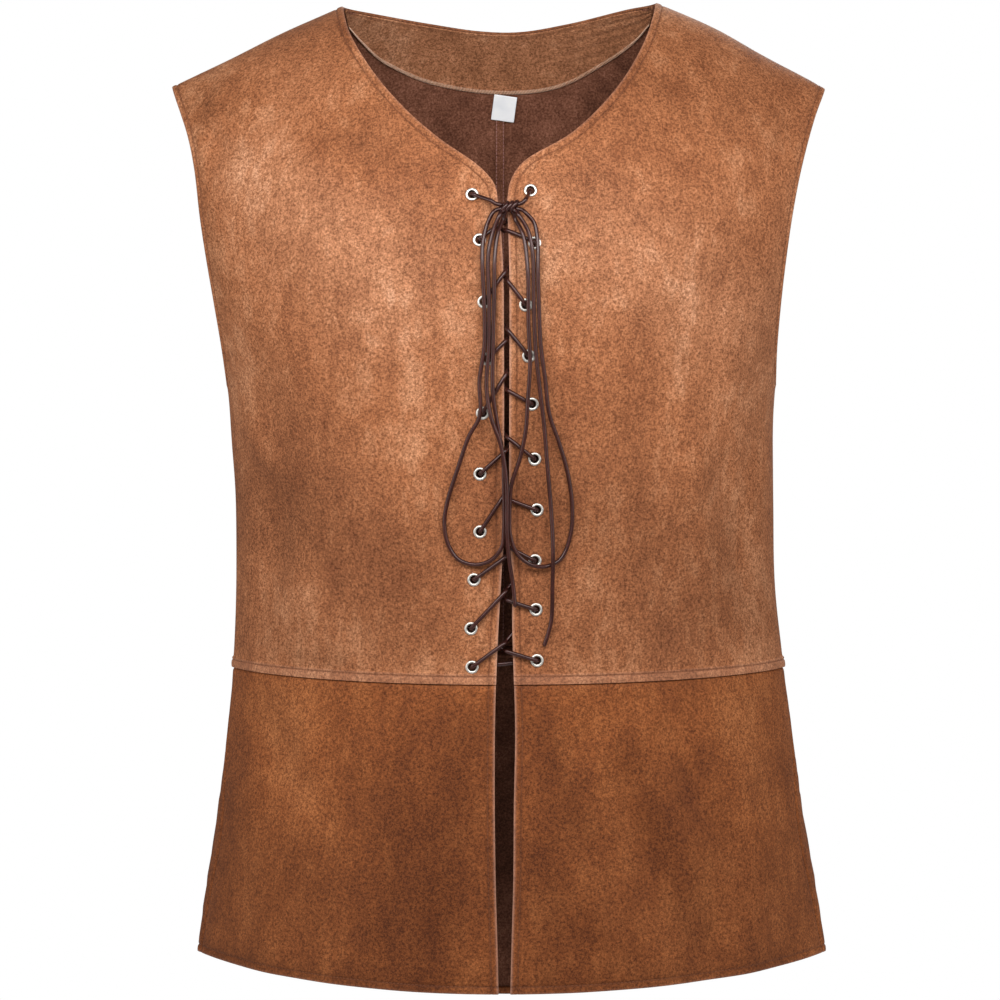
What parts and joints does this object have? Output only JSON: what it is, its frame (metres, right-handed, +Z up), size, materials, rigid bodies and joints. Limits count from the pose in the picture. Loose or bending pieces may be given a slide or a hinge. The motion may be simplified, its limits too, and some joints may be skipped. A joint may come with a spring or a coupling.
{
  "type": "renaissance vest",
  "caption": "Sleeveless brown faux-suede vest with a laced front, V neck, waist seam and flared skirt, filled out as it is worn.",
  "frame": {"origin": "midway between the shoulders, level with the neck ends of the shoulder seams, in the plane of the side and shoulder seams", "axes": "+Z up, -Y to the laced front, +X to the wearer's left"},
  "size_m": [0.4651, 0.2892, 0.7255],
  "materials": {
    "suede": "matte faux suede, soft nap",
    "suede_inside": "matte faux suede facing",
    "label": "smooth white woven tape, bare",
    "eyelet_metal": "polished nickel",
    "lace": "round waxed lace"
  },
  "bodies": {
    "root": {"front_bodice_left": "suede", "front_bodice_right": "suede", "back_bodice_left": "suede", "back_bodice_right": "suede", "front_skirt_left": "suede", "front_skirt_right": "suede", "back_skirt": "suede", "neck_facing": "suede_inside", "care_label": "label", "eyelet_left_01": "eyelet_metal", "eyelet_left_02": "eyelet_metal", "eyelet_left_03": "eyelet_metal", "eyelet_left_04": "eyelet_metal", "eyelet_left_05": "eyelet_metal", "eyelet_left_06": "eyelet_metal", "eyelet_left_07": "eyelet_metal", "eyelet_left_08": "eyelet_metal", "eyelet_left_09": "eyelet_metal", "eyelet_left_10": "eyelet_metal", "eyelet_right_01": "eyelet_metal", "eyelet_right_02": "eyelet_metal", "eyelet_right_03": "eyelet_metal", "eyelet_right_04": "eyelet_metal", "eyelet_right_05": "eyelet_metal", "eyelet_right_06": "eyelet_metal", "eyelet_right_07": "eyelet_metal", "eyelet_right_08": "eyelet_metal", "eyelet_right_09": "eyelet_metal", "eyelet_right_10": "eyelet_metal", "lacing": "lace", "bow_knot": "lace", "bow_loop_left": "lace", "bow_loop_right": "lace", "lace_end_left": "lace", "lace_end_right": "lace"}
  },
  "joints": []
}
